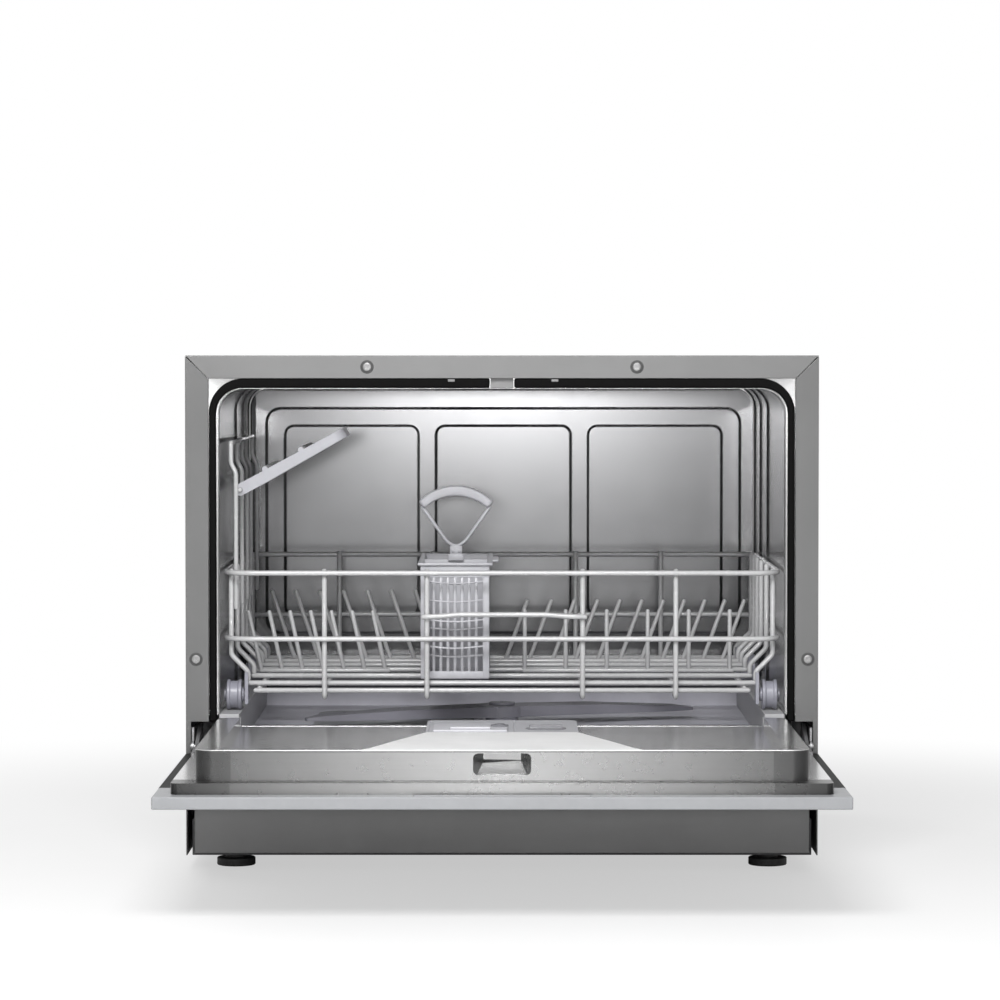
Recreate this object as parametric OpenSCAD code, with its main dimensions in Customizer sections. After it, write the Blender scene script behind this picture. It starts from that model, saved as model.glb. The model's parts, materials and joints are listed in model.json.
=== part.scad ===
// Countertop dishwasher with its door open, in millimetres.
// +X is to the right seen from the front, +Y goes to the back and +Z up.
// The shapes below are written from the front face of the cabinet (y = 0) and
// the counter (z = 0). centred() then puts the origin under the middle of the
// whole machine with its door down.

/* [Cabinet] */
// Width over the side panels
body_w = 551; // [548:0.5:553]
// Height over the top panel
body_h = 450; // [449:0.5:455]
// Front face to back panel
body_d = 470; // [468:1:480]
// Width of the folded front edge round the door opening
trim_w = 20; // [19:0.5:20]
// Thickness of the cabinet's sheet metal
sheet = 1; // [0.8:0.1:1]
// Height of the levelling feet under the base
foot_h = 12; // [10:1:12]

/* [Tub] */
// Half the width of the tub inside
tub_hw = 247.7; // [247.5:0.1:248]
// Height of the tub's ceiling above the counter
tub_top = 421.8; // [421:0.1:423]
// Distance of the tub's back wall from the front face
tub_back = 411; // [411:1:415]
// Radius of the tub's upper corners
tub_r = 22; // [18:1:26]
// Level that the basket's rollers run on
track_z = 137.5; // [137:0.1:138]

/* [Door] */
// Height of the hinge axis
hinge_z = 109.5; // [109.5:0.1:109.5]
// Distance of the hinge axis from the front face
hinge_y = -4; // [-4:0.1:-4]
// Distance of the door liner's far end from the front face
liner_end = -313.5; // [-314:0.5:-312]
// Distance of the opened door's far end from the front face
door_end = -342.5; // [-345:0.5:-341]
// Depth of the control panel along the door
panel_d = 67; // [60:1:70]

/* [Basket] */
// Diameter of the coated wire
wire = 4.6; // [4:0.1:5]
// Diameter of the thin tine wire
tine = 4; // [3.6:0.1:4.2]
// Half the width between the side wires
basket_hw = 243.5; // [243:0.1:243.8]
// Level of the upper rail
rail_z = 259; // [255:1:262]
// Level of the middle rail
middle_z = 201; // [199:1:203]
// Level of the basket's floor
floor_z = 161; // [160:1:163]
// Front and rear planes of the basket
basket_y = [30, 365]; // [0:1:400]
// Radius of a roller
roller_r = 13.2; // [12:0.1:13.4]

/* [Spray arm] */
// Length from hub to tip
arm_len = 188; // [170:1:189]
// Turn of the arm as the photograph shows it
arm_turn = 18; // [0:1:90]

/* [Hidden] */
$fn = 48;
eps = 0.1;
hw = body_w / 2;
trim_in = hw - trim_w;
spacer = 10;
origin_y = (body_d + spacer + door_end) / 2;
// door pan and liner levels, door lying open
pan_z = [93.3, 103.3];
flange_z = 112.3;
liner_wall = 1.6;
shelf_z = 126;
track_start = -33;
bulge_hw = 244;
track_in = 226;
recess_z = 130;
panel_end = door_end + panel_d;
// pressed fields of the tub's side and back walls
press = 1.4;
side_fields = [[26, 243], [261, 343]];
field_z = [140, 395];
back_frame = [[-229, 232], [180, 397]];
back_panels = [[-214, -78], [-66, 66], [79, 213]];
back_panel_z = [192, 380];
// dispenser
disp_x = 64;
disp_y = [-160, -36];
disp_top = 135.6;
lid_size = [62, 60, 2.4];
cup_x = [-56, 4];
cup_y = [-150, -92];
cap_at = [37, -112];
// latch pocket in the liner's end: half widths at its mouth and its back, and its ramp
pocket_hw = [23, 15];
pocket_z = [117.6, 134.8];
pocket_d = 15.5;
pocket_ramp = [6, 128];
// pieces under the tub
floor_top = 109;
hub_at = [0, 210];
sump_at = [-96, 250];
salt_at = [-165, 105];
float_at = [190, 60];
foot_at = [235, [48, 430]];
inlet_at = [-200, 70];
drain_at = [-150, 66];
drain_r = 9.5;
gland_at = [205, 62];
thread_r = 13.2;
// hinge plates
arm_x = [262.6, 265.6];
pin_r = 3;
run = 0.05;
// buttons on the control panel
button_x = [-205, 60, 95, 130, 165];
button_size = [20, 11];
button_gap = 0.5;
button_y = door_end + 34;
// rollers
roller_x = [229.5, 242.5];
roller_y = [46, 342];
roller_z = track_z + 0.3 + roller_r;
axle_r = 3;
// cup shelf
shelf_axis = [-231, 331.5];
shelf_tilt = 28.2;
shelf_len = 106;
shelf_half = 5.2;
shelf_y = [49, 240];
spindle_r = 2.2;
// wires of the basket
wire_y = [46, 127, 197, 252, 300, 342];
post_y = [46, 127, 197, 252, 342];
runner_x = [-156.2, -66, 71, 153];
side_x = basket_hw - wire - run;
foot_x = 224;
upright_y = [basket_y[0] + wire + run, basket_y[1] - wire - run];
runner_z = floor_z - wire - run;
post_x = side_x - (wire + tine) / 2 - run;
rack_top = 373;
// cutlery basket
cut_x = [-72, -11];
cut_y = [50, 222];
cut_z = [164, 266];
rim_h = 11;
grip_z = 334;

module centred() { translate([0, -origin_y, 0]) children(); }
module block(x, y, z) {
    translate([x[0], y[0], z[0]]) cube([x[1] - x[0], y[1] - y[0], z[1] - z[0]]);
}
module both_sides() {
    children();
    mirror([1, 0, 0]) children();
}
// flat outline with four round corners
module soft_rect(x, y, r) {
    translate([x[0] + r, y[0]]) square([x[1] - x[0] - 2 * r, y[1] - y[0]]);
    translate([x[0], y[0] + r]) square([x[1] - x[0], y[1] - y[0] - 2 * r]);
    for (px = [x[0] + r, x[1] - r], py = [y[0] + r, y[1] - r]) translate([px, py]) circle(r);
}
// upright outline with square feet and round upper corners
module arch(half, low, high, r) {
    translate([-half, low]) square([2 * half, high - r - low]);
    translate([-half + r, low]) square([2 * (half - r), high - low]);
    for (s = [-1, 1]) translate([s * (half - r), high - r]) circle(r);
}
module along_y(y) {
    translate([0, y[1], 0]) rotate([90, 0, 0]) linear_extrude(y[1] - y[0]) children();
}
module along_x(x) {
    translate([x[0], 0, 0]) rotate([90, 0, 90]) linear_extrude(x[1] - x[0]) children();
}
module up_from(z) { translate([0, 0, z[0]]) linear_extrude(z[1] - z[0]) children(); }
module rod_x(x, y, z, r) {
    translate([x[0], y, z]) rotate([0, 90, 0]) cylinder(r = r, h = x[1] - x[0]);
}
module rod_y(x, y, z, r) {
    translate([x, y[0], z]) rotate([-90, 0, 0]) cylinder(r = r, h = y[1] - y[0]);
}
module rod_z(x, y, z, r) { translate([x, y, z[0]]) cylinder(r = r, h = z[1] - z[0]); }
// straight eight-sided wire from one point to another
module strand(a, b, d) {
    way = b - a;
    reach = norm(way);
    translate(a) rotate([0, acos(way[2] / reach), atan2(way[1], way[0])])
        cylinder(d = d, h = reach, $fn = 8);
}
// wire through a list of points, with a ball at each bend
module bent_wire(points, d) {
    for (i = [0:len(points) - 2]) strand(points[i], points[i + 1], d);
    for (i = [1:len(points) - 2]) translate(points[i]) rotate([90, 0, 0])
        cylinder(d = d, h = d, center = true, $fn = 8);
}

// ---- cabinet ----
module base_tray() color("dimgray") {
    wall = 3;
    difference() {
        block([-hw + 4, hw - 4], [18, body_d - 4], [foot_h, 44]);
        block([-hw + 4 + wall, hw - 4 - wall], [18 + wall, body_d - 4 - wall],
            [foot_h + wall, 45]);
        for (x = [-1, 1] * foot_at[0], y = foot_at[1]) rod_z(x, y, [foot_h - 1, foot_h + 5], 4.2);
        along_y([body_d - 10, body_d]) translate([inlet_at[0] - 18, 40]) square([72, 20]);
        along_y([body_d - 10, body_d]) translate([gland_at[0] - 12, 40]) square([24, 20]);
    }
    for (x = [-1, 1] * foot_at[0], y = foot_at[1]) difference() {
        rod_z(x, y, [foot_h + wall - eps, 30], 9);
        rod_z(x, y, [foot_h + wall - 1, 31], 4.2);
    }
}
module adjustable_feet() color("black")
    for (x = [-1, 1] * foot_at[0], y = foot_at[1]) {
        rod_z(x, y, [0, 7], 17);
        rod_z(x, y, [7 - eps, foot_h], 9);
        rod_z(x, y, [foot_h - eps, 27], 4);
    }
module plinth_panel() color("gainsboro") {
    difference() {
        union() {
            block([-hw + 6, hw - 6], [15, 16], [foot_h + 2, 100]);
            block([-hw + 6, hw - 6], [15, 34], [99, 100]);
        }
        both_sides() block([arm_x[0] - 1.2, arm_x[1] + 1.2], [14, 35], [72, 101]);
    }
    both_sides() block([hw - 7, hw - 6], [15, 40], [46, 100]);
}
module side_panel() {
    along_y([0, sheet]) polygon([
        [hw, body_h - sheet - 0.2], [hw - sheet, body_h - sheet - 0.2], [hw - sheet, body_h - sheet - 0.7],
        [trim_in, body_h - trim_w - 0.7], [trim_in, 131],
        [hw - 4.5, 131], [hw - 4.5, 103], [hw, 103]]);
    block([hw - sheet, hw], [0, body_d], [foot_h + 2, body_h - sheet - 0.2]);
    block([hw - 12, hw - sheet + eps], [body_d - 2 * sheet - 0.2, body_d - sheet - 0.2], [44, 440]);
}
module left_side_panel() color("silver") mirror([1, 0, 0]) side_panel();
module right_side_panel() color("silver") side_panel();
module top_panel() color("silver") {
    along_y([0, sheet]) polygon([
        [-hw, body_h], [hw, body_h], [trim_in, body_h - trim_w], [-trim_in, body_h - trim_w]]);
    block([-hw, hw], [0, body_d], [body_h - sheet, body_h]);
}
module back_panel() color("silver") {
    difference() {
        block([-hw + sheet + 0.2, hw - sheet - 0.2], [body_d - sheet, body_d],
            [foot_h + 4, body_h - sheet - 0.2]);
        rod_y(inlet_at[0], [body_d - 2, body_d + 1], inlet_at[1], 15);
        rod_y(drain_at[0], [body_d - 2, body_d + 1], drain_at[1], 11);
        rod_y(gland_at[0], [body_d - 2, body_d + 1], gland_at[1], 8.2);
        for (i = [0:9])
            block([-110 + i * 22, -98 + i * 22], [body_d - 2, body_d + 1], [60, 63]);
    }
    both_sides() along_y([body_d - eps, body_d + spacer]) soft_rect([150, 190], [370, 400], 5);
}
module front_screws() color("dimgray") {
    spots = [[-117.3, 440], [117.3, 440], [-266.5, 185.5], [266.5, 185.5]];
    for (p = spots) {
        difference() {
            rod_y(p[0], [-0.6, 0], p[1], 5.8);
            rod_y(p[0], [-0.7, -0.3], p[1], 4.2);
        }
        rod_y(p[0], [-0.8, -0.2], p[1], 3.65);
    }
}
// ---- tub ----
module emboss(x, z, lift) along_y([tub_back - lift, tub_back + eps]) soft_rect(x, z, 10);
module tub() color("lightgray") {
    wall = 1;
    difference() {
        union() {
            along_y([10, tub_back + wall]) difference() {
                arch(tub_hw + wall, 125, tub_top + wall, tub_r + wall);
                arch(tub_hw, 124, tub_top, tub_r);
            }
            both_sides() for (y = side_fields) along_x([tub_hw + eps, tub_hw + wall + press])
                soft_rect([y[0] - wall, y[1] + wall], [field_z[0] - wall, field_z[1] + wall], 13);
        }
        both_sides() for (y = side_fields)
            along_x([tub_hw - wall, tub_hw + press]) soft_rect(y, field_z, 12);
    }
    along_y([tub_back, tub_back + wall]) arch(tub_hw + eps, 125, tub_top + eps, tub_r);
    // flange behind the folded trims
    along_y([9, 10 + eps]) difference() {
        arch(hw - 3, 136, body_h - 4, 4);
        arch(tub_hw, 124, tub_top, tub_r);
    }
    difference() {
        emboss(back_frame[0], back_frame[1], 1.5);
        for (x = back_panels) emboss(x, back_panel_z, 3);
    }
}
module tub_floor() color("slategray") {
    difference() {
        block([-tub_hw - 2, tub_hw + 2], [17, tub_back + 3], [103, 124.8]);
        block([-tub_hw + 1, tub_hw - 1], [20, tub_back - 1], [floor_top, 126]);
        rod_z(sump_at[0], sump_at[1], [100, 112], 34);
        rod_z(salt_at[0], salt_at[1], [100, 112], 27);
        rod_z(float_at[0], float_at[1], [100, 112], 4);
    }
    difference() {
        rod_z(hub_at[0], hub_at[1], [floor_top - eps, 116.6], 15);
        rod_z(hub_at[0], hub_at[1], [floor_top - 1, 118], 8.9);
    }
    rod_z(hub_at[0], hub_at[1], [floor_top - 2, 127.5], 9);
}
module tub_sill() color("lightgray") {
    block([-228, 228], [14, 16.8], [104, 126]);
    block([-228, 228], [16.6, 24], [125, 126]);
}
module roller_rails() color("lightgray") both_sides() {
    outer = tub_hw - 1.2;
    rear = tub_back - 8;
    block([229, outer], [1, rear], [track_z - 4, track_z]);
    block([229, 231.5], [25, rear], [floor_top, track_z - 3]);
    block([229, outer], [rear - 4, rear], [floor_top, track_z + 6]);
}
module door_gasket() color("black")
    along_y([1.2, 9]) difference() {
        arch(trim_in - 0.5, 131, body_h - trim_w, tub_r + 8);
        arch(tub_hw + 1.2, 130, tub_top, tub_r + 1);
        translate([-10.6, tub_top - 1]) square([21.2, 12]);
    }
module lower_door_seal() color("black") {
    block([-226, 226], [12.9, 14], [112, 120]);
    both_sides() block([tub_hw, tub_hw + 5], [2, 9], [112, 130.8]);
}
module latch_bolt() color("gray") {
    block([-10, 10], [5, 8.6], [tub_top, 431]);
    block([-6, 6], [5.4, 8], [431 - eps, 440]);
}
module hinge_brackets() color("gray") both_sides() {
    difference() {
        union() {
            along_x([268, 270]) {
                translate([hinge_y, 104]) square([60, 22]);
                translate([hinge_y, hinge_z]) circle(5.4);
            }
            block([250.5, 270], [54, 56], [104, 126]);
        }
        rod_x([267, 271], hinge_y, hinge_z, pin_r);
        block([260, 272], [-20, -4], [103, 107]);
    }
}
module hinge_pins() color("silver") both_sides() {
    rod_x([262, 271.2], hinge_y, hinge_z, pin_r);
    rod_x([260.8, 262.2], hinge_y, hinge_z, 4.6);
}
module door_springs() color("dimgray") both_sides() {
    rod_y(257, [120, 260], 62, 7);
    rod_y(257, [96, 120.1], 62, 1.5);
    rod_y(257, [259.9, 300], 62, 1.5);
    block([250.6, 273.5], [299, 303], [48, 76]);
}
// ---- water parts under the tub ----
module sump() color("dimgray") difference() {
    union() {
        rod_z(sump_at[0], sump_at[1], [40, 103], 44);
        rod_x([sump_at[0], sump_at[0] + 76], sump_at[1], 58, 15);
    }
    rod_z(sump_at[0], sump_at[1], [43, 104], 40);
    rod_x([sump_at[0], sump_at[0] + 77], sump_at[1], 58, 12);
}
module flat_filter() color("silver") difference() {
    up_from([floor_top + 0.2, floor_top + 1.6]) soft_rect(
        [sump_at[0] - 78, sump_at[0] + 70], [sump_at[1] - 85, sump_at[1] + 85], 24);
    rod_z(sump_at[0], sump_at[1], [floor_top, floor_top + 3], 32);
    rod_z(hub_at[0], hub_at[1], [floor_top, floor_top + 3], 16);
}
module filter_cylinder() color("gainsboro") {
    difference() {
        rod_z(sump_at[0], sump_at[1], [50, 112], 30);
        rod_z(sump_at[0], sump_at[1], [53, 113], 27.5);
    }
    // grip bar across the mouth
    translate([sump_at[0], sump_at[1], 109]) cube([56, 4, 6], center = true);
}
module wash_pump() color("darkgray") {
    rod_x([-19.5, 6], sump_at[1], 58, 14);
    rod_x([5.9, 34], sump_at[1], 66, 36);
    rod_x([33.9, 118], sump_at[1], 66, 28);
    rod_z(20, sump_at[1] - 18, [66, 102.8], 10);
}
module drain_pump() color("darkgray") {
    rod_y(sump_at[0], [sump_at[1] + 44.4, sump_at[1] + 60], 60, 10);
    rod_y(sump_at[0], [sump_at[1] + 59.9, sump_at[1] + 82], 60, 24);
    rod_y(sump_at[0], [sump_at[1] + 81.9, sump_at[1] + 130], 60, 19);
}
module flow_heater() color("silver") {
    rod_y(150, [150, 330], 66, 21);
    rod_y(150, [330 - eps, 350], 66, 12);
    rod_y(150, [130, 150 + eps], 66, 12);
}
module softener_tank() color("gainsboro") {
    up_from([34, 96]) soft_rect([-238, -100], [48, 168], 14);
    difference() {
        rod_z(salt_at[0], salt_at[1], [96 - eps, 110.5], 26.4);
        rod_z(salt_at[0], salt_at[1], [97, 112], 23.6);
    }
}
module salt_cap() color("white") {
    rod_z(salt_at[0], salt_at[1], [111, 114], 29);
    translate([salt_at[0], salt_at[1], 115]) cube([44, 6, 3], center = true);
    rod_z(salt_at[0], salt_at[1], [99, 111 + eps], 23.2);
}
module float_bell() color("lightgray") {
    difference() {
        rod_z(float_at[0], float_at[1], [floor_top + 0.4, 118.6], 14);
        rod_z(float_at[0], float_at[1], [floor_top, 116.6], 11.5);
    }
    rod_z(float_at[0], float_at[1], [85, 117], 3.7);
}
module inlet_valve() color("white") {
    difference() {
        union() {
            rod_y(inlet_at[0], [body_d - 8, body_d + spacer - 0.4], inlet_at[1], thread_r);
            rod_y(inlet_at[0], [body_d - 16, body_d - 8 + eps], inlet_at[1], 17);
            rod_y(inlet_at[0], [body_d - 60, body_d - 16 + eps], inlet_at[1], 13);
        }
        rod_y(inlet_at[0], [body_d - 20, body_d + spacer], inlet_at[1], 8);
    }
    block([inlet_at[0] - 14, inlet_at[0] + 14], [body_d - 53, body_d - 28],
        [inlet_at[1] + 10, inlet_at[1] + 44]);
}
module drain_spigot() color("gray") difference() {
    union() {
        rod_y(drain_at[0], [body_d - 40, body_d + 0.4], drain_at[1], drain_r + 0.9);
        rod_y(drain_at[0], [body_d + 0.3, body_d + spacer - 0.4], drain_at[1], drain_r);
        rod_y(drain_at[0], [body_d - 6, body_d - 1.2], drain_at[1], 15);
    }
    rod_y(drain_at[0], [body_d - 41, body_d + spacer], drain_at[1], drain_r - 2);
}
module cable_gland() color("black") difference() {
    union() {
        rod_y(gland_at[0], [body_d - 14, body_d + 6], gland_at[1], 8);
        rod_y(gland_at[0], [body_d + 0.2, body_d + 3], gland_at[1], 12);
        rod_y(gland_at[0], [body_d - 8, body_d - 1.2], gland_at[1], 12);
    }
    rod_y(gland_at[0], [body_d - 15, body_d + 7], gland_at[1], 4);
}
// ---- spray arm ----
// a blade that thins towards its tip
module arm_blade() intersection() {
    up_from([117.6, 127]) polygon([
        [0, -21], [60, -19], [arm_len - 40, -14], [arm_len - 12, -9], [arm_len, -3],
        [arm_len, 6], [arm_len - 16, 12], [arm_len - 60, 16], [60, 20], [0, 21]]);
    along_y([-22, 22]) polygon([
        [-1, 117], [arm_len + 1, 117], [arm_len + 1, 120], [arm_len - 16, 122.6],
        [90, 126.4], [30, 127], [-1, 127]]);
}
module spray_arm() color("dimgray") translate([hub_at[0], hub_at[1], 0]) rotate(arm_turn)
    difference() {
        union() {
            arm_blade();
            rotate(180) arm_blade();
            rod_z(0, 0, [117.2, 127.4], 24);
        }
        rod_z(0, 0, [110, 130], 9 + run);
        // jets
        for (s = [0, 180], i = [0:4]) rotate(s)
            translate([46 + i * 26, (i % 2) * 8 - 4, 0]) rod_z(0, 0, [123, 128], 1.6);
    }
module spray_arm_nut() color("dimgray") difference() {
    rod_z(hub_at[0], hub_at[1], [127.6, 129.8], 12);
    for (a = [0, 90]) translate([hub_at[0], hub_at[1], 129.6]) rotate(a)
        cube([16, 3, 1.4], center = true);
}
// ---- door ----
module outer_door_panel() color("silver") {
    front = panel_end + 0.4;
    back = hinge_y + 0.5;
    lip = 20;
    difference() {
        block([-hw, hw], [front, back], pan_z);
        block([-hw + sheet, hw - sheet], [front + sheet, back - sheet],
            [pan_z[0] + sheet, pan_z[1] - sheet]);
        block([-hw + lip, hw - lip], [front + 4, back - lip], [pan_z[0] + sheet, pan_z[1] + 1]);
    }
}
module control_panel() color("gray") difference() {
    block([-hw, hw], [door_end, panel_end], pan_z);
    block([-hw + 2.5, hw - 2.5], [door_end + 20, panel_end - 2.5], [pan_z[0] + 2.5, pan_z[1] - 2]);
    block([-70, 70], [door_end + 5, door_end + 15], [pan_z[0] + 3, pan_z[1] + 1]);
    for (x = button_x) block(
        [x - button_size[0] / 2 - button_gap, x + button_size[0] / 2 + button_gap],
        [button_y - button_size[1] / 2 - button_gap, button_y + button_size[1] / 2 + button_gap],
        [pan_z[0] - 1, pan_z[0] + 3]);
    block([-40, 30], [button_y - 12, button_y + 12], [pan_z[0] - 1, pan_z[0] + 3]);
}
module plateau_outline() polygon([
    [-disp_x, disp_y[0] - 4], [disp_x, disp_y[0] - 4], [106, -300], [-106, -300]]);
module door_liner() color("silver") difference() {
    inner = liner_wall;
    union() {
        up_from([pan_z[1], flange_z]) soft_rect([-262, 262], [-326, -12], 6);
        up_from([pan_z[1], shelf_z]) soft_rect([-track_in, track_in], [-80, -5], 6);
        up_from([flange_z - eps, track_z]) soft_rect([-bulge_hw, bulge_hw], [liner_end, track_start], 14);
    }
    // hollow behind the flange
    block([-262 + inner, 262 - inner], [-326 + inner, -12 - inner], [pan_z[1] - 1, flange_z - inner]);
    // hollow behind the bulge, round the latch pocket
    up_from([flange_z - 3, recess_z - inner]) difference() {
        soft_rect([-bulge_hw + inner, bulge_hw - inner], [liner_end + inner, track_start - inner], 12);
        translate([-pocket_hw[0] - 2, liner_end]) square([2 * pocket_hw[0] + 4, pocket_d + 2]);
    }
    // hollow behind the low shelf at the hinge
    up_from([pan_z[1] - 1, shelf_z - inner])
        soft_rect([-track_in + inner, track_in - inner], [-60, -5 - inner], 5);
    // hollows behind the tracks, the lip and the plateau
    both_sides() {
        block([track_in + inner, bulge_hw - inner], [liner_end + 14, track_start - 14],
            [flange_z, track_z - inner]);
        block([pocket_hw[0] + 6, track_in], [liner_end + inner, -300 - inner],
            [flange_z, track_z - inner]);
    }
    up_from([flange_z, track_z - inner]) polygon([
        [-disp_x + 6, disp_y[0] - 8], [disp_x - 6, disp_y[0] - 8], [97, -292], [-97, -292]]);
    // lowered fields between the tracks, the dispenser and the plateau
    up_from([recess_z, track_z + 1]) difference() {
        soft_rect([-track_in, track_in], [-300, track_start + 12], 12);
        plateau_outline();
    }
    // seat of the dispenser
    block([-disp_x - 0.3, disp_x + 0.3], [disp_y[0] - 0.3, disp_y[1] + 0.3], [flange_z - 3, track_z + 1]);
    latch_pocket();
}
// it narrows to the back, and its floor rises behind the bolt's place
module latch_pocket() intersection() {
    along_y([liner_end - 1, liner_end + pocket_d])
        soft_rect([-pocket_hw[0], pocket_hw[0]], pocket_z, 4);
    up_from([pocket_z[0] - 1, pocket_z[1] + 1]) polygon([
        [-pocket_hw[0] - 1, liner_end - 2], [pocket_hw[0] + 1, liner_end - 2],
        [pocket_hw[1], liner_end + pocket_d], [-pocket_hw[1], liner_end + pocket_d]]);
    along_x([-pocket_hw[0], pocket_hw[0]]) polygon([
        [liner_end - 2, pocket_z[0]], [liner_end + pocket_ramp[0], pocket_z[0] + 0.4],
        [liner_end + pocket_d, pocket_ramp[1]], [liner_end + pocket_d, pocket_z[1]],
        [liner_end - 2, pocket_z[1]]]);
}
module hinge_arms() color("gainsboro") both_sides() {
    difference() {
        along_x(arm_x) polygon([
            [-70, 104], [-70, 111], [-28, 112], [-20, 116], [-6, 121], [14, 130], [30, 128],
            [30, 120], [6, 114.5], [2, 106], [-2, 104]]);
        rod_x([260, 268], hinge_y, hinge_z, pin_r + run);
        rod_x([260, 268], 24, 124, 1.6);
    }
    for (y = [-60, -36]) rod_x([262, arm_x[0] + eps], y, 107.5, 3);
}
module control_board() color("darkgreen") {
    block([-220, 200], [door_end + 22, panel_end - 6], [99, 100.6]);
    for (x = button_x) block([x - 3, x + 3], [button_y - 3, button_y + 3], [98.7, 99.1]);
    block([-30, 20], [button_y - 8, button_y + 8], [97, 99.1]);
}
module display_window() color("black")
    block([-39.6, 29.6], [button_y - 11.6, button_y + 11.6], [pan_z[0], pan_z[0] + 1.8]);
module button(i) color("lightgray") {
    x = button_x[i];
    up_from([pan_z[0] - 1, pan_z[0] + 3.4]) soft_rect(
        [x - button_size[0] / 2, x + button_size[0] / 2],
        [button_y - button_size[1] / 2, button_y + button_size[1] / 2], 2.5);
}
// ---- dispenser ----
module dispenser_body() color("gainsboro") difference() {
    up_from([114, disp_top]) soft_rect([-disp_x, disp_x], disp_y, 8);
    up_from([117, disp_top + 1]) soft_rect(cup_x, cup_y, 10);
    rod_z(cap_at[0], cap_at[1], [125, disp_top + 1], 17.3);
    // grooves that the lid's edges run beside
    for (x = [[-61.6, -60.2], [9.6, 11]])
        block(x, [disp_y[0] + 6, disp_y[1] - 4], [disp_top - 1, disp_top + 1]);
}
module dispenser_lid() color("white") {
    left = -57.5;
    up_from([disp_top + 0.2, disp_top + 0.2 + lid_size[2]])
        soft_rect([left, left + lid_size[0]], [-152, -152 + lid_size[1]], 6);
    block([left + 14, left + lid_size[0] - 14], [-151, -146], [disp_top + 2.4, disp_top + 5]);
}
module rinse_aid_cap() color("lightgray") {
    rod_z(cap_at[0], cap_at[1], [125.4, disp_top + 0.6], 17);
    translate([cap_at[0], cap_at[1], disp_top + 1.6]) cube([28, 6, 3], center = true);
}
// ---- basket ----
// closed rail round the basket
module rail_loop(z) {
    x = basket_hw;
    for (y = basket_y) strand([-x - wire / 2, y, z], [x + wire / 2, y, z], wire);
    for (s = [-x, x]) strand([s, basket_y[0], z], [s, basket_y[1], z], wire);
}
module basket_rails() color("gainsboro") {
    rail_loop(rail_z);
    rail_loop(middle_z);
    strand([-71, basket_y[0], 221.5], [75, basket_y[0], 221.5], wire);
}
module floor_wires() color("gainsboro") {
    x = foot_x + wire / 2;
    for (y = wire_y) strand([-x, y, floor_z], [x, y, floor_z], wire);
    low_y = upright_y[0] + wire + run;
    strand([-219, low_y, floor_z - 6], [219, low_y, floor_z - 6], wire);
}
module side_wires() color("gainsboro") both_sides() for (y = wire_y) bent_wire([
    [side_x, y, rail_z + 3], [side_x, y, 186], [foot_x, y, 171],
    [foot_x, y, floor_z + wire / 2 + run]], wire);
module length_wires() color("gainsboro") {
    front = upright_y[0];
    rear = upright_y[1];
    foot_z = 149.3;
    for (x = runner_x) bent_wire([
        [x, front, rail_z + 3.5], [x, front, foot_z], [x, 50, foot_z], [x, 52, runner_z],
        [x, rear, runner_z], [x, rear, rail_z + 3.5]], wire);
    both_sides() strand([214, 42, runner_z], [214, rear, runner_z], wire);
}
module tine_row(xs, y, lean, top) {
    base = runner_z + (wire + tine) / 2 + run;
    for (x = xs) strand([x, y, base], [x + lean, y, top], tine);
    strand([xs[0] - 2, y, base], [xs[len(xs) - 1] + 4, y, base], tine);
}
module left_tine_rows() color("gainsboro") {
    tine_row([for (i = [0:6]) -221 + i * 19], 190, -12, 216);
    tine_row([for (i = [0:6]) -197.7 + i * 22.7], 306, -23, 228);
}
module right_tine_rows() color("gainsboro") {
    tine_row([for (i = [0:5]) 21 + i * 37.7], 190, 0, 217);
    // the rear row stands closer together towards the right
    tine_row([for (i = [0:10]) 3 + i * 22.9 - i * i * 0.23], 306, 21.5, 219);
}
module roller_brackets() color("gainsboro") both_sides() for (y = roller_y) {
    low = roller_z - 8;
    block([223.6, 226.6], [y - 9, y + 9], [low, floor_z - wire / 2 - 0.2]);
    for (ear = [[y - 9, y - 2.6], [y + 2.6, y + 9]]) block([223.6, 226.6], ear, [low, floor_z + 10]);
    rod_x([226.5, 243.8], y, roller_z, axle_r);
    rod_x([243.6, 245], y, roller_z, 5);
}
module roller(y) difference() {
    union() {
        rod_x([roller_x[0], roller_x[1]], y, roller_z, roller_r - 1.4);
        rod_x([roller_x[0], roller_x[0] + 3], y, roller_z, roller_r);
        rod_x([roller_x[1] - 3, roller_x[1]], y, roller_z, roller_r);
        rod_x([roller_x[0] - 2, roller_x[0] + eps], y, roller_z, 6);
    }
    rod_x([225, 245], y, roller_z, axle_r + run);
}
module front_left_roller() color("slategray") mirror([1, 0, 0]) roller(roller_y[0]);
module front_right_roller() color("slategray") roller(roller_y[0]);
module rear_left_roller() color("slategray") mirror([1, 0, 0]) roller(roller_y[1]);
module rear_right_roller() color("slategray") roller(roller_y[1]);
module shelf_rack() color("gainsboro") {
    out_x = post_x + 4.4;
    for (y = post_y) bent_wire([
        [-post_x, y, 226], [-post_x, y, 347], [-out_x, y, 355], [-out_x, y, rack_top]], tine);
    strand([-out_x, post_y[0] - 2, rack_top], [-out_x, post_y[4] + 8, rack_top], tine);
    rod_y(shelf_axis[0], [post_y[0] - 2, post_y[3] + 2], shelf_axis[1], spindle_r);
}
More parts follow.
